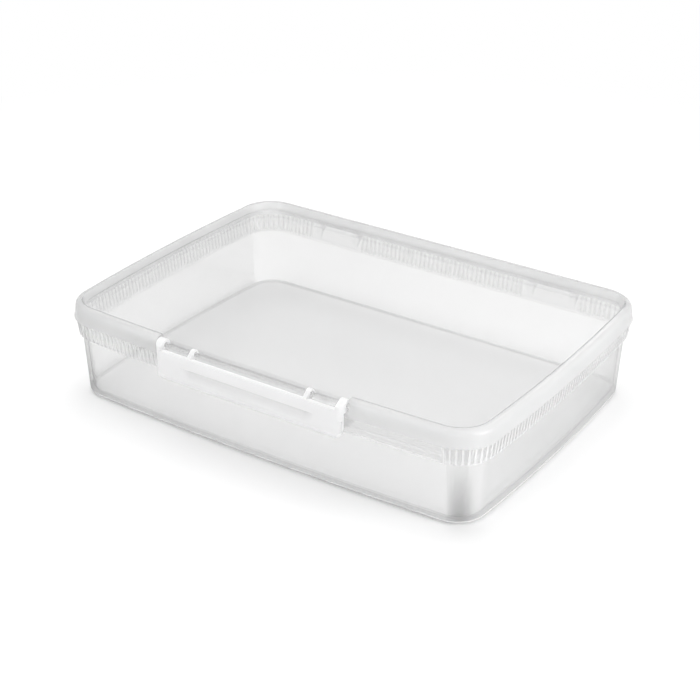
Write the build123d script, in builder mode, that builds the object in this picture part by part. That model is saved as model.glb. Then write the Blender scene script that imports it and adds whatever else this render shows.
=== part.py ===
from build123d import *
import math
import os

# A shallow food keeper: a tapered tray, a hinged lid that fits over its rim, and a wide
# front clasp. Millimetres, +Z up. The origin is on the table, under the middle of the
# overall box. +X is to the right and -Y is the front, where the clasp is. An inset is
# how far a wall stands inside the lid's outermost edge, seen from above.

# Plan of the lid's lower edge, the outermost line of the body
body_length = 300.0
body_width = 216.0
front_bow = 4.0
side_bow = 4.0
corner_radius = 25.0

# Rises, each from the level below it: table, lip, seam, crease and the rim's top
lip_rise = 41.6
band_rise = 11.7
skirt_rise = 4.7
rim_rise = 6.2
panel_drop = 4.4

# Tray
tray_wall = 1.9
floor_thickness = 2.2
base_inset = 6.3
wall_top_inset = 4.3
lip_inset = 3.3
lip_bead_height = 1.0
lip_bead_proud = 0.5
band_top_inset = 1.3
base_edge_radius = 2.5
floor_edge_radius = 3.0
rim_step = 0.35
edge_steps = 4

# Ribs moulded on the tray's band, and the stretch to the right of the clasp without them
rib_pitch = 3.4
rib_width = 1.3
rib_foot_proud = 1.1
rib_head_proud = 0.55
rib_root = 0.4
rib_margin = 0.6
smooth_length = 57.0

# Lid
lid_wall = 1.8
panel_thickness = 1.6
crease_inset = 0.9
shoulder_inset = 1.5
shoulder_radius = 3.8
recess_top_inset = 5.8
recess_floor_inset = 7.3
rim_hollow_height = 4.2
rim_hollow_width = 3.1
rim_hollow_top_width = 0.6
seam_gap = 0.3

# Front clasp, and the bar and pocket of the lid that carry it
clasp_length = 136.0
clasp_wall = 2.5
clasp_gap = 0.4
clasp_hook_drop = 4.4
clasp_top_drop = 1.4
clasp_curl_radius = 6.0
clasp_corner_radius = 9.5
clasp_end_radius = 4.0
clasp_bottom_bow = 1.2
hook_tip_width = 1.2
hook_tip_inset = 3.6
catch_gap = 0.3
catch_length = 112.0
catch_reach = 2.0
catch_depth = 3.0
bar_radius = 1.6
bar_inset = 3.1
notch_gap = 1.0
notch_wall = 1.6
notch_floor_gap = 0.3
ear_radius = 3.7
ear_width = 4.6
ear_shoulder_rise = 0.8
arm_radius = 2.9
arm_width = 2.6
arm_spacing = 84.0
arm_mouth = 2.6
bar_web_thickness = 1.4
bar_web_gap = 1.5
grip_length = 98.0
grip_height = 8.0
grip_rise = 6.0
grip_depth = 1.6
grip_fade = 7.0

# Rear hinges
hinge_spacing = 170.0
hinge_length = 36.0
lug_width = 5.0
hook_side_gap = 0.5
pin_radius = 2.0
axis_offset = 3.6
lug_radius = 3.0
hook_radius = 3.3
hook_mouth_start = -58.0
heel_radius = 5.0
heel_sweep = 8.0
lug_foot_drop = 9.9
running_gap = 0.05

half_width = body_width / 2
rear_axis_y = half_width + axis_offset
front_edge = half_width + front_bow
lip_height = lip_rise
seam_height = lip_height + band_rise
crease_height = seam_height + skirt_rise
lid_height = crease_height + rim_rise
panel_height = lid_height - panel_drop
lid_underside = panel_height - panel_thickness
rim_height = lid_underside - seam_gap
shoulder_height = seam_height - seam_gap
rim_inset = lid_wall + rim_step
above_all = lid_height + 10


def plan(inset):
    """Draw the body's outline in the open sketch, inset from the lid's outermost edge."""
    half_x = body_length / 2 - inset
    half_y = half_width - inset
    with BuildLine() as outline:
        ThreePointArc((-half_x, -half_y), (0, -half_y - front_bow), (half_x, -half_y))
        ThreePointArc((half_x, -half_y), (half_x + side_bow, 0), (half_x, half_y))
        Line((half_x, half_y), (-half_x, half_y))
        ThreePointArc((-half_x, half_y), (-half_x - side_bow, 0), (-half_x, -half_y))
    face = make_face(outline.edges())
    fillet(face.vertices(), corner_radius - inset)


def stack(levels, mode=Mode.ADD):
    """Build up the plan through levels, each a height and the inset there."""
    sections = []
    for height, inset in levels:
        with BuildSketch(Plane.XY.offset(height)) as section:
            plan(inset)
        sections.append(section.sketch)
    loft(sections, ruled=True, mode=mode)


def inset_at(height, low, high):
    """The inset at a height on the straight wall between two levels."""
    return low[1] + (high[1] - low[1]) * (height - low[0]) / (high[0] - low[0])


def rounding(middle_height, side_inset, radius, start, end):
    """Levels round an edge, from one angle above the horizontal to another."""
    levels = []
    for step in range(edge_steps + 1):
        angle = math.radians(start + (end - start) * step / edge_steps)
        reach = radius * (1 - math.cos(angle))
        levels.append((middle_height + radius * math.sin(angle), side_inset + reach))
    return levels


def block(x_low, x_high, y_low, y_high, z_low, z_high, mode=Mode.ADD):
    """Add or cut a plain block between two corners."""
    middle = ((x_low + x_high) / 2, (y_low + y_high) / 2, (z_low + z_high) / 2)
    with Locations(middle):
        Box(x_high - x_low, y_high - y_low, z_high - z_low, mode=mode)


def annulus(middle, radius, bore, start, sweep):
    """Draw a part of a ring about a middle, from an angle and round by a sweep."""
    with BuildLine() as outline:
        inner = CenterArc(middle, bore, start, sweep)
        outer = CenterArc(middle, radius, start, sweep)
        Line(inner @ 0, outer @ 0)
        Line(inner @ 1, outer @ 1)
    make_face(outline.edges())


# Places on the front
clasp_back_y = -(front_edge + clasp_gap)
clasp_front_y = clasp_back_y - clasp_wall
lip_front_y = -(front_edge - lip_inset)
catch_front_y = lip_front_y - catch_reach
bar_y = -(front_edge - bar_inset)
bar_height = panel_height
notch_floor_height = bar_height - ear_radius - notch_floor_gap
clasp_bottom = lip_height - clasp_hook_drop
clasp_top = bar_height - clasp_top_drop
notch_half = clasp_length / 2 + notch_gap
notch_bow = front_bow * (1 - (2 * notch_half / body_length) ** 2)
notch_back_y = -(half_width + notch_bow - recess_floor_inset)
pocket_half = notch_half + notch_wall
pocket_back_y = notch_back_y + notch_wall
pocket_underside = notch_floor_height - notch_wall
low_rim_half = pocket_half + seam_gap
hinge_middles = (-hinge_spacing / 2, hinge_spacing / 2)

# Tray: tapered walls, a beaded lip, a band below the seam and a rim inside the lid's skirt
wall_foot = (0, base_inset)
wall_top = (lip_height, wall_top_inset)
band_foot = (lip_height, lip_inset)
band_top = (shoulder_height, band_top_inset)
with BuildPart() as tray:
    foot_side = inset_at(base_edge_radius, wall_foot, wall_top)
    stack(rounding(base_edge_radius, foot_side, base_edge_radius, -90, 0) + [wall_top])
    stack([band_foot, band_top])
    bead_inset = lip_inset - lip_bead_proud
    stack([(lip_height, bead_inset), (lip_height + lip_bead_height, bead_inset)])
    stack([(shoulder_height, rim_inset), (rim_height, rim_inset)])

    # Catch rib behind the clasp
    with BuildSketch(Plane.YZ.offset(-catch_length / 2)):
        with BuildLine():
            Polyline(
                (lip_front_y + tray_wall, lip_height),
                (catch_front_y, lip_height),
                (catch_front_y, lip_height + catch_depth / 2),
                (lip_front_y + tray_wall, lip_height + 2 * catch_depth),
                close=True,
            )
        make_face()
    extrude(amount=catch_length)

    # Hollow
    rim_inner_inset = rim_inset + tray_wall
    hollow_foot = (floor_thickness, base_inset + tray_wall)
    hollow_top = (lip_height, wall_top_inset + tray_wall)
    floor_edge_middle = floor_thickness + floor_edge_radius
    floor_side = inset_at(floor_edge_middle, hollow_foot, hollow_top)
    stack(
        rounding(floor_edge_middle, floor_side, floor_edge_radius, -90, 0)
        + [hollow_top, (shoulder_height, rim_inner_inset), (above_all, rim_inner_inset)],
        mode=Mode.SUBTRACT,
    )

    # Ribs round the band: one profile across the wall, set along the outline
    foot_height = lip_height + rib_margin
    head_height = shoulder_height - rib_margin
    foot_inset = inset_at(foot_height, band_foot, band_top)
    lean = foot_inset - inset_at(head_height, band_foot, band_top)
    with BuildSketch(mode=Mode.PRIVATE) as band_outline:
        plan(foot_inset)
    line = band_outline.wires()[0]
    rib_count = round(line.length / rib_pitch)
    rib_places = []
    for number in range(rib_count):
        share = (number + 0.5) / rib_count
        spot = line.position_at(share)
        on_front = spot.Y < -half_width / 2
        at_clasp = on_front and abs(spot.X) < low_rim_half
        at_smooth = on_front and 0 < spot.X < low_rim_half + smooth_length
        at_hinge = spot.Y > half_width / 2 and any(
            abs(spot.X - middle) < (hinge_length + rib_pitch) / 2 for middle in hinge_middles
        )
        if abs(spot.Y) < half_width * 0.9 or not (at_clasp or at_smooth or at_hinge):
            rib_places.append(Plane(spot, x_dir=line.tangent_at(share), z_dir=(0, 0, 1)))
    with BuildPart(mode=Mode.PRIVATE) as rib:
        with BuildSketch(Plane.YZ.offset(-rib_width / 2)):
            with BuildLine():
                Polyline(
                    (rib_root, foot_height), (-rib_foot_proud, foot_height),
                    (-lean - rib_head_proud, head_height), (-lean + rib_root, head_height),
                    close=True,
                )
            make_face()
        extrude(amount=rib_width)
    with Locations(*rib_places):
        add(rib.part)

    # The rim is lower where the lid's pocket for the clasp comes down
    block(
        -low_rim_half, low_rim_half, -half_width * 1.2, -half_width * 0.8,
        pocket_underside - seam_gap, above_all, mode=Mode.SUBTRACT,
    )

    # Rear hinges: two lugs and a moulded bar at each
    for middle in hinge_middles:
        for side in (-1, 1):
            lug_x = middle + side * (hinge_length - lug_width) / 2 - lug_width / 2
            with BuildSketch(Plane.YZ.offset(lug_x)):
                with Locations((rear_axis_y, seam_height)):
                    Circle(lug_radius)
                with BuildLine():
                    Polyline(
                        (half_width - 2.5, shoulder_height - 0.2),
                        (rear_axis_y, shoulder_height - 0.2),
                        (rear_axis_y + 2.4, seam_height - 1.8),
                        (half_width - lip_inset - 0.2, seam_height - lug_foot_drop),
                        close=True,
                    )
                make_face()
            extrude(amount=lug_width)
        with BuildSketch(Plane.YZ.offset(middle - hinge_length / 2 + 1)):
            with Locations((rear_axis_y, seam_height)):
                Circle(pin_radius)
        extrude(amount=hinge_length - 2)
tray.part.label = "tray"

# Lid: sunk panel, hollow raised rim, skirt, front pocket with its bar, rear hooks
with BuildPart() as lid:
    crease = (crease_height, crease_inset)
    shoulder_middle = lid_height - shoulder_radius
    shoulder_side = inset_at(shoulder_middle, crease, (lid_height, shoulder_inset))
    stack(
        [(seam_height, 0), crease]
        + rounding(shoulder_middle, shoulder_side, shoulder_radius, 0, 90)
    )
    recess_foot = (panel_height, recess_floor_inset)
    stack([recess_foot, (lid_height, recess_top_inset)], mode=Mode.SUBTRACT)
    stack([(seam_height, lid_wall), (lid_underside, lid_wall)], mode=Mode.SUBTRACT)

    # Hollow of the raised rim, left solid beside the clasp
    hollow_outer = recess_top_inset - rim_hollow_width
    hollow_slope = (rim_hollow_width - rim_hollow_top_width) / 2
    hollow_inner = recess_top_inset
    with BuildPart(mode=Mode.PRIVATE) as rim_hollow:
        hollow_roof = lid_underside + rim_hollow_height
        stack([(lid_underside, hollow_outer), (hollow_roof, hollow_outer + hollow_slope)])
        stack(
            [(lid_underside, hollow_inner), (hollow_roof, hollow_inner - hollow_slope)],
            mode=Mode.SUBTRACT,
        )
        block(
            -pocket_half, pocket_half, -half_width * 1.2, -half_width * 0.8,
            seam_height, above_all, mode=Mode.SUBTRACT,
        )
    add(rim_hollow.part, mode=Mode.SUBTRACT)

    # Pocket behind the clasp
    with BuildPart(mode=Mode.PRIVATE) as pocket:
        skirt_middle = (crease_inset + lid_wall) / 2
        stack([(pocket_underside, skirt_middle), (panel_height, skirt_middle)])
        block(
            -pocket_half, pocket_half, -half_width * 1.2, pocket_back_y,
            pocket_underside, panel_height, mode=Mode.INTERSECT,
        )
    add(pocket.part)
    block(
        -notch_half, notch_half, -half_width * 1.2, notch_back_y,
        notch_floor_height, above_all, mode=Mode.SUBTRACT,
    )

    # Bar for the clasp, held by webs between the clasp's arms
    with BuildSketch(Plane.YZ.offset(-notch_half - notch_wall / 2)):
        with Locations((bar_y, bar_height)):
            Circle(bar_radius)
    extrude(amount=2 * notch_half + notch_wall)
    arm_clear = arm_spacing / 2 + arm_width / 2 + bar_web_gap
    arm_near = arm_spacing / 2 - arm_width / 2 - bar_web_gap
    ear_near = clasp_length / 2 - ear_width - bar_web_gap
    for web_low, web_high in ((-ear_near, -arm_clear), (-arm_near, arm_near), (arm_clear, ear_near)):
        block(
            web_low, web_high, bar_y, notch_back_y + notch_wall / 2,
            bar_height - bar_web_thickness, bar_height,
        )

    # Rear hooks: a ring open at the bottom, a web to the skirt and a heel as the stop
    hook_width = hinge_length - 2 * lug_width - 2 * hook_side_gap
    for middle in hinge_middles:
        with BuildSketch(Plane.YZ.offset(middle - hook_width / 2)):
            with BuildLine():
                Polyline(
                    (half_width - lid_wall / 2, seam_height),
                    (half_width - lid_wall / 2, seam_height + hook_radius + 1),
                    (rear_axis_y, seam_height + hook_radius),
                    (rear_axis_y, seam_height),
                    close=True,
                )
            make_face()
            axis = (rear_axis_y, seam_height)
            bore = pin_radius + running_gap
            annulus(axis, hook_radius, bore, hook_mouth_start, 170)
            annulus(axis, heel_radius, bore, hook_mouth_start, heel_sweep)
            with Locations(axis):
                Circle(bore, mode=Mode.SUBTRACT)
        extrude(amount=hook_width)
lid.part.label = "lid"

# Clasp: a wide curled plate with ears and arms that snap on the lid's bar
with BuildPart() as clasp:
    curl_y = clasp_front_y + clasp_curl_radius
    curl_z = clasp_bottom + clasp_curl_radius
    inner_curl = clasp_curl_radius - clasp_wall
    tip_back_y = -(front_edge - hook_tip_inset)
    tip_front_y = tip_back_y - hook_tip_width
    with BuildSketch(Plane.YZ.offset(-clasp_length / 2)):
        with BuildLine():
            Polyline(
                (clasp_back_y, curl_z), (clasp_back_y, clasp_top),
                (clasp_front_y, clasp_top), (clasp_front_y, curl_z),
            )
            CenterArc((curl_y, curl_z), clasp_curl_radius, 180, 90)
            CenterArc((curl_y, curl_z), inner_curl, 180, 90)
            Line((curl_y, clasp_bottom), (curl_y, clasp_bottom + clasp_wall))
        make_face()
        with BuildLine():
            Polyline(
                (tip_front_y, clasp_bottom + clasp_wall - 0.5),
                (tip_front_y, lip_height - catch_gap),
                (tip_back_y, lip_height - catch_gap),
                (tip_back_y, clasp_bottom),
                (curl_y, clasp_bottom),
                close=True,
            )
        make_face()
    extrude(amount=clasp_length)

    # Ears at the ends and two arms between them, each with an open bore on the bar
    ear_shoulder = bar_height + ear_shoulder_rise
    for reach, x_low, width, shoulder in (
        (ear_radius, -clasp_length / 2, ear_width, ear_shoulder),
        (ear_radius, clasp_length / 2 - ear_width, ear_width, ear_shoulder),
        (arm_radius, -arm_spacing / 2 - arm_width / 2, arm_width, clasp_top),
        (arm_radius, arm_spacing / 2 - arm_width / 2, arm_width, clasp_top),
    ):
        with BuildSketch(Plane.YZ.offset(x_low)):
            with Locations((bar_y, bar_height)):
                Circle(reach)
            with BuildLine():
                Polyline(
                    (clasp_front_y, bar_height - reach),
                    (clasp_front_y, shoulder),
                    (bar_y - reach * 0.42, bar_height + reach * 0.907),
                    (bar_y, bar_height),
                    (bar_y, bar_height - reach),
                    close=True,
                )
            make_face()
            with Locations((bar_y, bar_height)):
                Circle(bar_radius + running_gap, mode=Mode.SUBTRACT)
            with Locations(Location((bar_y + reach / 2, bar_height - reach / 2), -45)):
                Rectangle(2 * reach, arm_mouth, mode=Mode.SUBTRACT)
        extrude(amount=width)

    # Bowed lower edge with rounded corners, and rounded ends
    half_clasp = clasp_length / 2
    with BuildSketch(Plane.XZ.offset(-clasp_front_y - 20)) as face_outline:
        with BuildLine():
            bow_ends = clasp_bottom + clasp_bottom_bow
            ThreePointArc((-half_clasp, bow_ends), (0, clasp_bottom), (half_clasp, bow_ends))
            Polyline(
                (half_clasp, bow_ends), (half_clasp, above_all),
                (-half_clasp, above_all), (-half_clasp, bow_ends),
            )
        make_face()
        fillet(face_outline.vertices().group_by(Axis.Y)[0], clasp_corner_radius)
    extrude(amount=40, mode=Mode.INTERSECT)
    with BuildSketch():
        with Locations((0, clasp_front_y + 20)):
            outline = Rectangle(clasp_length, 40)
        fillet(outline.vertices().group_by(Axis.Y)[0], clasp_end_radius)
    extrude(amount=above_all, mode=Mode.INTERSECT)

    # Finger grip: a crease above and a slope that faces up below it, run out at both ends
    grip_low = clasp_bottom + grip_rise
    grip_end = grip_length / 2
    for x, depth in (
        (-grip_end, -0.1), (grip_fade - grip_end, grip_depth),
        (grip_end - grip_fade, grip_depth), (grip_end, -0.1),
    ):
        with BuildSketch(Plane.YZ.offset(x)):
            with BuildLine():
                Polyline(
                    (clasp_front_y - 0.2, grip_low + grip_height),
                    (clasp_front_y + depth, grip_low + grip_height - 0.5),
                    (clasp_front_y - 0.2, grip_low),
                    close=True,
                )
            make_face()
    loft(ruled=True, mode=Mode.SUBTRACT)
clasp.part.label = "clasp"

os.makedirs("parts", exist_ok=True)
export_step(tray.part, "parts/tray.step")
export_step(lid.part, "parts/lid.step")
export_step(clasp.part, "parts/clasp.step")
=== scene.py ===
"""Dresses a clear food keeper, its tray, hinged lid and frosted clasp, on a white studio floor."""

import logging
import math
from dataclasses import dataclass, field
from enum import Enum
from typing import Any, Union

import bmesh
import bpy
from mathutils import Matrix, Vector


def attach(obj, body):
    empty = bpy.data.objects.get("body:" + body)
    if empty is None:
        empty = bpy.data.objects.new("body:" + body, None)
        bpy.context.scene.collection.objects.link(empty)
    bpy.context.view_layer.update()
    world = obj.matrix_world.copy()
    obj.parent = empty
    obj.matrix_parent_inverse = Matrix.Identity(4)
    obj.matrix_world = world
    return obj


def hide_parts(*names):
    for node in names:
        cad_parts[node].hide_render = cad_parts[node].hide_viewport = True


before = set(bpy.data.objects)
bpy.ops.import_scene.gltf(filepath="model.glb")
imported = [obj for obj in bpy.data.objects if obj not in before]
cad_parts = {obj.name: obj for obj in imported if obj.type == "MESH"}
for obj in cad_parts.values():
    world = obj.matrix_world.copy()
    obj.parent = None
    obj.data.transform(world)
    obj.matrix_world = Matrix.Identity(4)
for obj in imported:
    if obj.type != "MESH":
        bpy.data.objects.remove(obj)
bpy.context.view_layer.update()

LOG = logging.getLogger("keeper")
Point = tuple[float, float, float]
Value = Union["Shade", int, float]


class Body(Enum):
    """The moving bodies that the pieces ride on."""

    TRAY = "tray_body"
    LID = "lid_body"
    CLASP = "clasp_body"


class Shade:
    """A shader value that Python expressions can work with."""

    def __init__(self, graph: "Graph", socket: bpy.types.NodeSocket) -> None:
        """Wrap one output socket of a graph.

        Args:
            graph: The graph that new nodes are added to.
            socket: The output socket that holds the value.
        """
        self.graph = graph
        self.socket = socket

    def _math(self, operation: str, first: Value, second: Value) -> "Shade":
        """Add a Math node.

        Args:
            operation: The node's operation.
            first: The left value.
            second: The right value.

        Returns:
            The result as a new shade.
        """
        made = self.graph.node("ShaderNodeMath", {"operation": operation}, {0: first, 1: second})
        return Shade(self.graph, made.outputs[0])

    def __add__(self, other: Value) -> "Shade":
        """Add a value."""
        return self._math("ADD", self, other)

    def __radd__(self, other: Value) -> "Shade":
        """Add to a value."""
        return self._math("ADD", other, self)

    def __sub__(self, other: Value) -> "Shade":
        """Take a value away."""
        return self._math("SUBTRACT", self, other)

    def __rsub__(self, other: Value) -> "Shade":
        """Take away from a value."""
        return self._math("SUBTRACT", other, self)

    def __mul__(self, other: Value) -> "Shade":
        """Multiply by a value."""
        return self._math("MULTIPLY", self, other)

    def __rmul__(self, other: Value) -> "Shade":
        """Multiply a value."""
        return self._math("MULTIPLY", other, self)

    def __truediv__(self, other: Value) -> "Shade":
        """Divide by a value."""
        return self._math("DIVIDE", self, other)

    def power(self, other: Value) -> "Shade":
        """This value raised to a power."""
        return self._math("POWER", self, other)

    def at_most(self, other: Value) -> "Shade":
        """The smaller of this and another value."""
        return self._math("MINIMUM", self, other)

    def at_least(self, other: Value) -> "Shade":
        """The larger of this and another value."""
        return self._math("MAXIMUM", self, other)

    def clamped(self) -> "Shade":
        """This value held between 0 and 1."""
        return self.at_least(0.0).at_most(1.0)

    def above(self, level: float, steepness: float) -> "Shade":
        """Mask where this value is above a level.

        Args:
            level: Where the mask starts to rise.
            steepness: How fast the mask rises.

        Returns:
            0 up to the level, then rising to 1.
        """
        return ((self - level) * steepness).clamped()

    def below(self, level: float, steepness: float) -> "Shade":
        """Mask where this value is below a level.

        Args:
            level: Where the mask comes down to 0.
            steepness: How fast the mask falls.

        Returns:
            1 well below the level, falling to 0 at it.
        """
        return ((level - self) * steepness).clamped()


class Graph:
    """The node tree of one material or world."""

    def __init__(self, tree: bpy.types.NodeTree) -> None:
        """Empty a node tree and hold it.

        Args:
            tree: The tree to fill.
        """
        self.tree = tree
        tree.nodes.clear()

    def node(self, kind: str, settings: dict[str, Any] | None = None,
             sockets: dict[Any, Any] | None = None) -> bpy.types.Node:
        """Add a node.

        Args:
            kind: The node's type.
            settings: Its settings, set first.
            sockets: Values, shades or output sockets for its inputs.

        Returns:
            The new node.
        """
        made = self.tree.nodes.new(kind)
        for name, value in (settings or {}).items():
            setattr(made, name, value)
        for key, value in (sockets or {}).items():
            target = made.inputs[key]
            if isinstance(value, Shade):
                self.tree.links.new(value.socket, target)
            elif isinstance(value, bpy.types.NodeSocket):
                self.tree.links.new(value, target)
            else:
                target.default_value = value
        return made

    def shader(self, kind: str, sockets: dict[Any, Any]) -> bpy.types.NodeSocket:
        """Add a shader node.

        Args:
            kind: The node's type.
            sockets: Values, shades or output sockets for its inputs.

        Returns:
            The shader's socket.
        """
        return self.node(kind, {}, sockets).outputs[0]

    def mix(self, share: Value, first: bpy.types.NodeSocket,
            second: bpy.types.NodeSocket) -> bpy.types.NodeSocket:
        """Mix two shaders.

        Args:
            share: 0 for the first shader alone, 1 for the second alone.
            first: The first shader's socket.
            second: The second shader's socket.

        Returns:
            The mixed shader's socket.
        """
        return self.shader("ShaderNodeMixShader", {0: share, 1: first, 2: second})

    def place(self) -> bpy.types.NodeSocket:
        """The Object coordinates of the piece."""
        return self.node("ShaderNodeTexCoord").outputs["Object"]

    def spot(self) -> tuple[Shade, Shade, Shade]:
        """Split the piece's own coordinates.

        Returns:
            How far across, back and up the spot lies, in metres.
        """
        split = self.node("ShaderNodeSeparateXYZ", {}, {0: self.place()})
        across, back, height = (Shade(self, output) for output in split.outputs)
        return across, back, height

    def mark(self, name: str) -> Shade:
        """The piece's own attribute of this name, from 0 to 1."""
        return Shade(self, self.node("ShaderNodeAttribute", {"attribute_name": name}).outputs["Fac"])

    def noise(self, size: float, detail: float, stretch: Point = (1.0, 1.0, 1.0),
              weight: float = 0.55) -> Shade:
        """Cloudy noise on the piece's own coordinates.

        Args:
            size: The width of one cloud in metres.
            detail: How many finer layers are added.
            stretch: How much denser the pattern is along each axis.
            weight: How strong each finer layer is next to the one before.

        Returns:
            The noise, from 0 to 1.
        """
        spread = self.node("ShaderNodeMapping", {}, {"Vector": self.place(), "Scale": stretch})
        made = self.node("ShaderNodeTexNoise", {}, {
            "Vector": spread.outputs[0], "Scale": 1.0 / size, "Detail": detail, "Roughness": weight})
        return Shade(self, made.outputs[0])

    def tint(self, amount: Shade, low: tuple[float, ...],
             high: tuple[float, ...]) -> bpy.types.NodeSocket:
        """Blend two colours.

        Args:
            amount: 0 for the low colour, 1 for the high one.
            low: The first colour.
            high: The second colour.

        Returns:
            The blended colour's socket.
        """
        made = self.node("ShaderNodeMix", {"data_type": "RGBA"}, {
            "Factor": amount, "A": low, "B": high})
        return made.outputs["Result"]

    def show(self, surface: bpy.types.NodeSocket) -> None:
        """Send a shader to the material's output."""
        self.node("ShaderNodeOutputMaterial", {}, {"Surface": surface})


def grey(level: float) -> tuple[float, float, float, float]:
    """An opaque grey of this level."""
    return (level, level, level, 1.0)


@dataclass(frozen=True)
class MouldedPlastic:
    """A milky moulded plastic: see-through face on, cloudier and greyer towards its edges.

    Part of what meets the surface passes straight on, part of it bends, and the veil, the
    milk in the plastic, is lit from both sides. Lengths are in metres, and a steepness says
    how fast a mask rises or falls.

    Attributes:
        name: The material's name.
        colour: The milk's colour.
        shade: The milk's colour in the flow marks.
        tint: What passes the wall face on.
        edge_tint: What passes the wall along its length.
        veil: The share of milk face on.
        edge_veil: The milk added towards the edges.
        glow: The share of the milk that is lit from behind.
        bend: The share of clear light that bends.
        gloss: The strength of the mirror on top.
        smooth: The roughness outside the flow marks.
        dull: The roughness in the flow marks.
        grain_size: The width of one grain of the surface.
        grain_depth: The depth of the grain.
        grain_detail: How many finer layers the grain has.
        turned_bend: The bend added on turned faces, those of rims and rounded edges.
        turned_veil: The milk added there.
        turned_painted_shade: Painted shade, a grey added there, fullest on the tray's foot as its
            contact shadow.
        corner_painted_shade: Painted shade, a grey added in the upright front corners.
        crest_painted_highlight: Painted highlight, milk added on crests, the proud edges of ribs and
            beads.
        sheet_top: The top of the base sheet.
        sheet_veil: The milk added in the base sheet.
        sheet_steepness: How fast that milk comes in below the sheet's top.
        slot_painted_shade: Painted shade, the grey of the bar in the slot behind the clasp, or 0
            without a slot.
        slot_front: How far back the slot reaches.
        slot_reach: Half the slot's width.
        slot_low: The height of the slot's lower end.
        slot_side_steepness: How fast the slot's mask rises from its ends, by the squared length.
        slot_front_steepness: How fast it rises from the slot's back.
        slot_low_steepness: How fast it rises from the slot's lower end.
        slot_edge_cut: The share of the edges' grey taken away in the slot.
        slot_milk_cut: The share of the milk taken away there.
        slot_mirror_cut: The share of the mirror taken away there.
        grip_thin_and_shade: The milk taken away in the finger groove, where the wall is thinner and
            as painted shade in its crease, or 0 without a groove.
        grip_face: How far back the grooved face lies.
        grip_depth: The depth of the groove.
        grip_low: The groove's lower end.
        grip_high: The groove's upper end.
        grip_end_steepness: How fast the groove's mask rises from its lower and upper ends.
        grip_back_steepness: How fast it falls behind the groove.
        grip_margin: How far back the mask reaches, in depths of the groove.
        edge_power: How close to the edges their look stays.
        refraction: The plastic's index of refraction.
        bent_roughness: The roughness of what bends through the wall.
        flow_size: The width of one flow mark.
        flow_detail: How many finer layers the flow marks have.
        flow_stretch: How much denser they are along each axis.
        flow_contrast: How far the flow marks are stretched between clear and full.
        flow_cut: What is taken off them after that.
        flow_veil_low: The share of the milk outside the flow marks.
        flow_veil_rise: What the flow marks add to that share.
        haze_size: The width of one cloud of the haze in the gloss.
        haze_detail: How many finer layers the haze has.
    """

    name: str
    colour: Point
    shade: Point
    tint: float
    edge_tint: float
    veil: float
    edge_veil: float
    glow: float
    bend: float
    gloss: float
    smooth: float
    dull: float
    grain_size: float
    grain_depth: float
    grain_detail: float = 2.0
    turned_bend: float = 0.0
    turned_veil: float = 0.0
    turned_painted_shade: float = 0.0
    corner_painted_shade: float = 0.0
    crest_painted_highlight: float = 0.0
    sheet_top: float = 0.0
    sheet_veil: float = 0.0
    sheet_steepness: float = 2500.0
    slot_painted_shade: float = 0.0
    slot_front: float = -0.1005
    slot_reach: float = 0.0695
    slot_low: float = 0.0562
    slot_side_steepness: float = 9000.0
    slot_front_steepness: float = 4000.0
    slot_low_steepness: float = 2000.0
    slot_edge_cut: float = 0.8
    slot_milk_cut: float = 0.85
    slot_mirror_cut: float = 0.85
    grip_thin_and_shade: float = 0.0
    grip_face: float = -0.1149
    grip_depth: float = 0.0016
    grip_low: float = 0.0432
    grip_high: float = 0.0514
    grip_end_steepness: float = 4000.0
    grip_back_steepness: float = 9000.0
    grip_margin: float = 1.15
    edge_power: float = 5.0
    refraction: float = 1.45
    bent_roughness: float = 0.04
    flow_size: float = 0.045
    flow_detail: float = 3.0
    flow_stretch: Point = (0.35, 1.0, 1.0)
    flow_contrast: float = 1.6
    flow_cut: float = 0.3
    flow_veil_low: float = 0.85
    flow_veil_rise: float = 0.3
    haze_size: float = 0.012
    haze_detail: float = 4.0

    def _clear(self, graph: Graph, edge: Shade, slot: Value,
               bump: bpy.types.NodeSocket) -> bpy.types.NodeSocket:
        """Make what is seen through the wall.

        Args:
            graph: The graph to add to.
            edge: 0 where the wall is seen face on, 1 where it is seen along its length.
            slot: 1 in the slot behind the clasp, where nothing bends.
            bump: The normal of the grain.

        Returns:
            The shader's socket.
        """
        thin = graph.shader("ShaderNodeBsdfTransparent", {"Color": grey(self.tint)})
        thick = graph.shader("ShaderNodeBsdfTransparent", {"Color": grey(self.edge_tint)})
        bent = graph.shader("ShaderNodeBsdfRefraction", {
            "Color": grey(self.tint), "Roughness": self.bent_roughness, "IOR": self.refraction,
            "Normal": bump})
        share = (self.bend + self.turned_bend * graph.mark("turned")) * (1.0 - slot)
        return graph.mix(share, graph.mix(edge, thin, thick), bent)

    def _cloudy(self, graph: Graph, clouds: Shade, roughness: Shade,
                bump: bpy.types.NodeSocket) -> bpy.types.NodeSocket:
        """Make the milk in the wall, lit from the front and from behind.

        Args:
            graph: The graph to add to.
            clouds: The flow marks of the moulding, from 0 to 1.
            roughness: The surface's roughness.
            bump: The normal of the grain.

        Returns:
            The shader's socket.
        """
        milk = graph.shader("ShaderNodeBsdfPrincipled", {
            "Base Color": graph.tint(clouds, (*self.colour, 1.0), (*self.shade, 1.0)),
            "Roughness": roughness, "Normal": bump})
        lit = graph.shader("ShaderNodeBsdfTranslucent", {"Color": (*self.colour, 1.0)})
        return graph.mix(self.glow, milk, lit)

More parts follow.
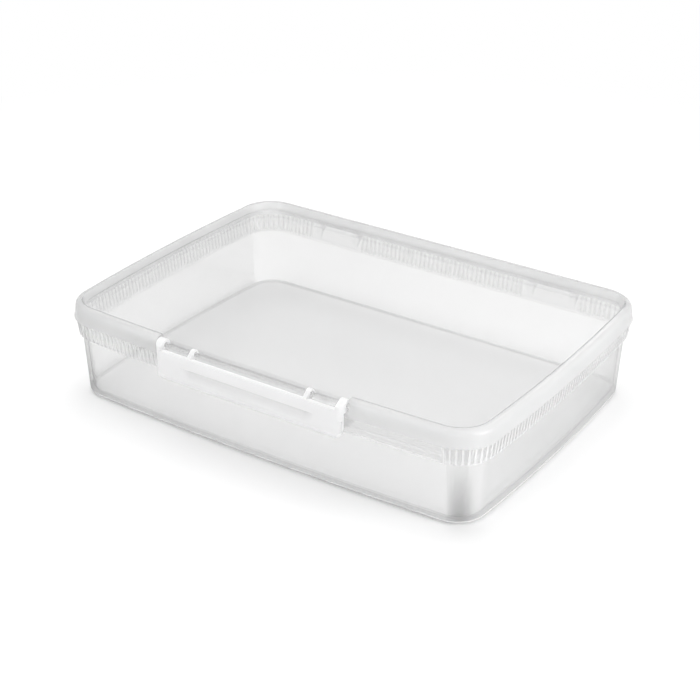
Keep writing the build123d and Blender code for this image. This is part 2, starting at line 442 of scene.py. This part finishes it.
    def _veil(self, graph: Graph, edge: Shade, clouds: Shade) -> Shade:
        """Work out how milky the wall is at each spot.

        Args:
            graph: The graph to add to.
            edge: 0 where the wall is seen face on, 1 where it is seen along its length.
            clouds: The flow marks of the moulding, from 0 to 1.

        Returns:
            The share of milk.
        """
        veil = self.veil * (self.flow_veil_low + self.flow_veil_rise * clouds)
        veil = veil + self.edge_veil * edge
        # Painted highlight: the crests of ribs and beads get extra milk.
        veil = veil + self.turned_veil * graph.mark("turned") + self.crest_painted_highlight * graph.mark("crest")
        if self.sheet_veil > 0.0:
            height = graph.spot()[2]
            veil = veil + self.sheet_veil * height.below(self.sheet_top, self.sheet_steepness)
        # Less milk in the finger groove, where the wall is thinner; this also paints shade in its
        # crease.
        if self.grip_thin_and_shade > 0.0:
            veil = veil - self.grip_thin_and_shade * self._groove(graph)
        return veil.at_most(1.0)

    def _groove(self, graph: Graph) -> Shade:
        """Work out how deep the finger groove is cut into the wall, for its thinner milk and painted
        crease shade.

        Args:
            graph: The graph to add to.

        Returns:
            0 at the front face, 1 at the groove's crease.
        """
        _, back, height = graph.spot()
        cut = ((back - self.grip_face) / self.grip_depth).clamped()
        over = height.above(self.grip_low, self.grip_end_steepness)
        under = height.below(self.grip_high, self.grip_end_steepness)
        deepest = self.grip_face + self.grip_margin * self.grip_depth
        return cut * over * under * back.below(deepest, self.grip_back_steepness)

    def _slot(self, graph: Graph) -> Shade:
        """Mask the bar and webs in the slot behind the clasp, where shade is painted.

        Args:
            graph: The graph to add to.

        Returns:
            1 in the slot, 0 elsewhere.
        """
        across, back, height = graph.spot()
        inside = (across * across).below(self.slot_reach * self.slot_reach, self.slot_side_steepness)
        ahead = back.below(self.slot_front, self.slot_front_steepness)
        return inside * ahead * height.above(self.slot_low, self.slot_low_steepness)

    def material(self) -> bpy.types.Material:
        """Make the material.

        Returns:
            The new material.
        """
        made = bpy.data.materials.new(self.name)
        made.use_nodes = True
        graph = Graph(made.node_tree)
        flow = graph.noise(self.flow_size, self.flow_detail, self.flow_stretch)
        haze = graph.noise(self.haze_size, self.haze_detail)
        grain = graph.noise(self.grain_size, self.grain_detail)
        clouds = (flow * self.flow_contrast - self.flow_cut).clamped()
        roughness = self.smooth + (self.dull - self.smooth) * (haze * clouds)
        bump = graph.node("ShaderNodeBump", {}, {
            "Strength": 1.0, "Distance": self.grain_depth, "Height": grain}).outputs[0]
        facing = graph.node("ShaderNodeLayerWeight", {}, {"Blend": 0.5}).outputs["Facing"]
        edge = Shade(graph, facing).power(self.edge_power)
        veil = self._veil(graph, edge, clouds)
        # Painted shade: grey on turned faces, fullest on the tray's foot as its contact shadow.
        edge = edge + self.turned_painted_shade * graph.mark("turned")
        # Painted shade: grey in the upright front corners.
        edge = (edge + self.corner_painted_shade * graph.mark("corner")).at_most(1.0)
        fresnel = graph.node("ShaderNodeFresnel", {}, {"IOR": self.refraction}).outputs[0]
        mirror = Shade(graph, fresnel) * self.gloss
        slot: Value = 0.0
        # Painted shade: an even grey on the bar in the slot behind the clasp, with less edge grey,
        # milk and mirror there.
        if self.slot_painted_shade > 0.0:
            slot = self._slot(graph)
            edge = edge * (1.0 - self.slot_edge_cut * slot) + self.slot_painted_shade * slot
            veil = veil * (1.0 - self.slot_milk_cut * slot)
            mirror = mirror * (1.0 - self.slot_mirror_cut * slot)
        wall = graph.mix(veil, self._clear(graph, edge, slot, bump),
                         self._cloudy(graph, clouds, roughness, bump))
        sheen = graph.shader("ShaderNodeBsdfGlossy", {
            "Color": grey(1.0), "Roughness": roughness, "Normal": bump})
        graph.show(graph.mix(mirror, wall, sheen))
        return made


CLEAR_TRAY = MouldedPlastic(
    name="clear_tray", colour=(0.97, 0.971, 0.973), shade=(0.95, 0.951, 0.953),
    tint=0.985, edge_tint=0.3, veil=0.05, edge_veil=0.25, glow=0.12, bend=0.0, gloss=0.45,
    smooth=0.06, dull=0.16, grain_size=0.006, grain_depth=0.000004,
    turned_painted_shade=0.9, corner_painted_shade=0.45, crest_painted_highlight=0.32, sheet_top=0.0028, sheet_veil=0.5)
CLEAR_LID = MouldedPlastic(
    name="clear_lid", colour=(0.95, 0.951, 0.953), shade=(0.93, 0.931, 0.933),
    tint=0.995, edge_tint=0.3, veil=0.06, edge_veil=0.12, glow=0.5, bend=0.0, gloss=0.26,
    smooth=0.04, dull=0.12, grain_size=0.008, grain_depth=0.000004,
    turned_bend=0.32, turned_veil=0.28, turned_painted_shade=0.06, slot_painted_shade=0.06)
FROSTED = MouldedPlastic(
    name="frosted_clasp", colour=(0.97, 0.97, 0.972), shade=(0.95, 0.95, 0.953),
    tint=0.97, edge_tint=0.8, veil=0.92, edge_veil=0.08, glow=0.35, bend=0.2, gloss=0.5,
    smooth=0.34, dull=0.5, grain_size=0.0004, grain_depth=0.00002, grip_thin_and_shade=0.4)


@dataclass(frozen=True)
class Zone:
    """A span of heights, and how much of the turned faces' look it gets."""

    low: float
    high: float
    amount: float


@dataclass
class MouldedPiece:
    """One moulding, welded and smoothed from its solid.

    Attributes:
        node: The solid that it is made from and replaces.
        slot: The name of a material slot, not used.
        body: The body that it rides on.
        finish: Its plastic.
        weld: How close two vertices are to be one.
        crease_angle: The angle from which an edge stays sharp.
        crest_low: The height from which vertices are marked as crests.
        crest_high: The height up to which they are.
        crest_turn: How proud a vertex stands to be a crest.
        turned_zones: The heights at which faces are marked as turned.
        flat_rise: How level a face is to be part of a flat sheet.
        corner_low: The height from which the upright front corners are marked.
        corner_high: The height up to which they are.
        corner_reach: How far the corners reach in from the piece's sides.
    """

    node: str
    slot: str
    body: Body
    finish: MouldedPlastic
    weld: float = 1e-6
    crease_angle: float = math.radians(28.0)
    crest_low: float = 0.0
    crest_high: float = 0.0
    crest_turn: float = 0.15
    turned_zones: tuple[Zone, ...] = ()
    flat_rise: float = 0.985
    corner_low: float = 0.0
    corner_high: float = 0.0
    corner_reach: float = 0.024

    def _mark_crests(self, work: bmesh.types.BMesh) -> None:
        """Mark crests for a painted highlight: a 1 on each vertex that stands proud between two
        heights, else a 0.

        Args:
            work: The welded mesh.
        """
        crest = work.verts.layers.float.new("crest")
        for spot in work.verts:
            if not self.crest_low < spot.co.z < self.crest_high:
                continue
            turns = [(spot.co - edge.other_vert(spot).co).normalized().dot(spot.normal)
                     for edge in spot.link_edges]
            if turns and sum(turns) / len(turns) > self.crest_turn:
                spot[crest] = 1.0

    def _mark_corners(self, work: bmesh.types.BMesh) -> None:
        """Mark the upright front corners for painted shade, up to 1 at the middle of the corner's
        turn.

        Args:
            work: The welded mesh.
        """
        corner = work.verts.layers.float.new("corner")
        wide = max(abs(spot.co.x) for spot in work.verts) - self.corner_reach
        deep = max(abs(spot.co.y) for spot in work.verts) - self.corner_reach
        for spot in work.verts:
            across, along = abs(spot.co.x) - wide, abs(spot.co.y) - deep
            low_front = spot.co.y < 0.0 and self.corner_low < spot.co.z < self.corner_high
            if low_front and across > 0.0 and along > 0.0:
                spot[corner] = math.sin(2.0 * math.atan2(along, across))

    def _mark_turned(self, work: bmesh.types.BMesh, made: bpy.types.Mesh) -> None:
        """Give each face that isn't level the amount of its zone, and each other face a 0.

        Args:
            work: The welded mesh.
            made: The finished mesh, with the same faces.
        """
        marks = []
        for face in work.faces:
            height = face.calc_center_median().z
            level = abs(face.normal.z) >= self.flat_rise
            amounts = [zone.amount for zone in self.turned_zones
                       if zone.low < height < zone.high and not level]
            marks.append(max(amounts, default=0.0))
        made.attributes.new("turned", "FLOAT", "FACE").data.foreach_set("value", marks)

    def mesh(self) -> bpy.types.Mesh:
        """Weld a copy of the solid's mesh, smooth it up to its creases and mark its parts.

        Returns:
            The new mesh.
        """
        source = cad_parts[self.node]
        made = bpy.data.meshes.new(self.node + "_moulding")
        work = bmesh.new()
        work.from_mesh(source.data)
        bmesh.ops.remove_doubles(work, verts=work.verts[:], dist=self.weld)
        bmesh.ops.dissolve_degenerate(work, edges=work.edges[:], dist=self.weld)
        work.normal_update()
        self._mark_crests(work)
        self._mark_corners(work)
        for face in work.faces:
            face.smooth = True
        for edge in work.edges:
            edge.smooth = edge.is_manifold and edge.calc_face_angle(0.0) < self.crease_angle
        work.to_mesh(made)
        self._mark_turned(work, made)
        work.free()
        return made

    def build(self) -> bpy.types.Object:
        """Make the piece in place of its solid.

        Returns:
            The finished object.
        """
        made = bpy.data.objects.new(self.node + "_moulding", self.mesh())
        bpy.context.scene.collection.objects.link(made)
        made.data.materials.clear()
        made.data.materials.append(self.finish.material())
        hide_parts(self.node)
        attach(made, self.body.value)
        LOG.info("%s: %d faces on %s", made.name, len(made.data.polygons), self.body.value)
        return made


@dataclass
class Keeper:
    """The whole keeper: tray, lid and clasp."""

    pieces: list[MouldedPiece] = field(default_factory=lambda: [
        MouldedPiece("tray", "clear_tray", Body.TRAY, CLEAR_TRAY,
                     crest_low=0.0415, crest_high=0.0526,
                     # Painted shade: the foot zone gets the full contact shadow, the rim band a
                     # little grey.
                     turned_zones=(Zone(-0.001, 0.0021, 1.0), Zone(0.0415, 0.054, 0.12)),
                     corner_low=0.002, corner_high=0.0412),
        MouldedPiece("lid", "clear_lid", Body.LID, CLEAR_LID,
                     turned_zones=(Zone(0.045, 0.0535, 0.15), Zone(0.0535, 0.07, 1.0))),
        MouldedPiece("clasp", "frosted_clasp", Body.CLASP, FROSTED),
    ])

    def build(self) -> list[bpy.types.Object]:
        """Build each piece.

        Returns:
            The finished objects.
        """
        return [piece.build() for piece in self.pieces]


@dataclass
class SoftBox:
    """A large soft lamp that points at a spot."""

    name: str
    place: Point
    aim: Point
    width: float
    height: float
    watts: float

    def build(self) -> bpy.types.Object:
        """Make the lamp.

        Returns:
            The lamp's object.
        """
        lamp = bpy.data.lights.new(self.name, "AREA")
        lamp.shape = "RECTANGLE"
        lamp.size = self.width
        lamp.size_y = self.height
        lamp.energy = self.watts
        made = bpy.data.objects.new(self.name, lamp)
        bpy.context.scene.collection.objects.link(made)
        made.location = self.place
        made.rotation_mode = "QUATERNION"
        made.rotation_quaternion = (Vector(self.aim) - Vector(self.place)).to_track_quat("-Z", "Y")
        return made


@dataclass
class Studio:
    """White floor, soft light, pale world and the camera.

    Attributes:
        clear_walls: How many clear walls one line of sight may pass.
        floor_size: The length of the floor's sides.
        floor_drop: How far the floor lies below the base, so that the two don't coincide.
        floor_colour: The floor's colour where it is lit.
        near_lift: How much of the floor is plain white close to the keeper.
        lift_start: How far out the floor starts to turn plain white.
        lift_reach: Over what distance it does.
        world_level: How brightly the world lights.
        lens: The lens in millimetres.
        sensor: The sensor's width in millimetres.
        near: The nearest that the camera sees.
        far: The furthest that the camera sees.
        azimuth: How far round from the front the camera stands, in degrees.
        elevation: How far up it stands, in degrees.
        roll: How far it is turned about its line of sight, in degrees.
        distance: How far it stands from its target.
        target: The spot that it points at.
        boxes: The lamps.
    """

    clear_walls: int = 32
    floor_size: float = 8.0
    floor_drop: float = 0.0002
    floor_colour: Point = (0.9, 0.9, 0.9)
    near_lift: float = 0.05
    lift_start: float = 0.26
    lift_reach: float = 0.4
    world_level: float = 0.62
    lens: float = 81.94
    sensor: float = 36.0
    near: float = 0.05
    far: float = 50.0
    azimuth: float = 33.54
    elevation: float = 27.75
    roll: float = 0.36
    distance: float = 1.08138
    target: Point = (-0.0309, 0.04235, 0.0)
    boxes: list[SoftBox] = field(default_factory=lambda: [
        SoftBox("overhead", (-0.6, 0.4, 2.1), (0.0, 0.0, 0.0), width=2.0, height=2.0, watts=28.5),
        SoftBox("front", (-0.5, -1.9, 1.0), (0.0, 0.0, 0.03), width=1.2, height=1.0, watts=9.5),
        SoftBox("right", (0.85, 0.0, 0.14), (0.0, 0.0, 0.04), width=0.5, height=0.15, watts=4.5),
    ])

    @staticmethod
    def _seen(graph: Graph) -> Shade:
        """Mask what the eye, a reflection or a clear wall looks at directly.

        Args:
            graph: The graph to add to.

        Returns:
            1 where it is looked at, 0 where it only lights.
        """
        path = graph.node("ShaderNodeLightPath")
        eye, reflection, bent = (Shade(graph, path.outputs[name]) for name in (
            "Is Camera Ray", "Is Glossy Ray", "Is Transmission Ray"))
        return (eye + reflection + bent).at_most(1.0)

    def _paper(self) -> bpy.types.Material:
        """Make the floor's material: matt under the keeper, plain white further out.

        Returns:
            The new material.
        """
        made = bpy.data.materials.new("floor_paper")
        made.use_nodes = True
        graph = Graph(made.node_tree)
        matt = graph.shader("ShaderNodeBsdfDiffuse", {"Color": (*self.floor_colour, 1.0)})
        white = graph.shader("ShaderNodeEmission", {"Strength": 1.0})
        across, back, _ = graph.spot()
        away = (across * across + back * back).power(0.5)
        outer = ((away - self.lift_start) / self.lift_reach).clamped()
        share = self._seen(graph) * (self.near_lift + (1.0 - self.near_lift) * outer)
        graph.show(graph.mix(share, matt, white))
        return made

    def floor(self) -> bpy.types.Object:
        """Make the floor, which keeps the shadow and just clears the base.

        Returns:
            The floor's object.
        """
        work = bmesh.new()
        bmesh.ops.create_grid(work, x_segments=1, y_segments=1, size=self.floor_size / 2,
                              matrix=Matrix.Translation((0, 0, -self.floor_drop)))
        mesh = bpy.data.meshes.new("floor")
        work.to_mesh(mesh)
        work.free()
        mesh.materials.append(self._paper())
        made = bpy.data.objects.new("floor", mesh)
        bpy.context.scene.collection.objects.link(made)
        return made

    def world(self) -> None:
        """Make the world: white where it is seen, softer where it lights."""
        made = bpy.data.worlds.new("studio")
        made.use_nodes = True
        bpy.context.scene.world = made
        graph = Graph(made.node_tree)
        level = self.world_level + (1.0 - self.world_level) * self._seen(graph)
        sky = graph.shader("ShaderNodeBackground", {"Color": grey(1.0), "Strength": level})
        graph.node("ShaderNodeOutputWorld", {}, {"Surface": sky})

    def camera(self) -> bpy.types.Object:
        """Make the camera at the photograph's angle.

        Returns:
            The camera's object.
        """
        turn, rise, roll = (math.radians(a) for a in (self.azimuth, self.elevation, self.roll))
        back = Vector((math.sin(turn) * math.cos(rise), -math.cos(turn) * math.cos(rise),
                       math.sin(rise)))
        right = (-back).cross(Vector((0, 0, 1))).normalized()
        up = right.cross(-back)
        across = right * math.cos(roll) + up * math.sin(roll)
        over = up * math.cos(roll) - right * math.sin(roll)
        lens = bpy.data.cameras.new("camera")
        lens.lens = self.lens
        lens.sensor_width = self.sensor
        lens.clip_start = self.near
        lens.clip_end = self.far
        made = bpy.data.objects.new("camera", lens)
        bpy.context.scene.collection.objects.link(made)
        place = Matrix((across, over, back)).transposed().to_4x4()
        place.translation = Vector(self.target) + back * self.distance
        made.matrix_world = place
        bpy.context.scene.camera = made
        return made

    def build(self) -> None:
        """Set up the floor, lamps, world and camera."""
        self.floor()
        for box in self.boxes:
            box.build()
        self.world()
        self.camera()
        bpy.context.scene.view_settings.view_transform = "Standard"
        bpy.context.scene.cycles.transparent_max_bounces = self.clear_walls
        LOG.info("studio: %d lamps", len(self.boxes))


def main() -> None:
    """Build the keeper and the studio."""
    logging.basicConfig(level=logging.INFO, format="%(name)s: %(message)s")
    made = Keeper().build()
    LOG.info("keeper: %d pieces", len(made))
    Studio().build()


if __name__ == "__main__":
    main()
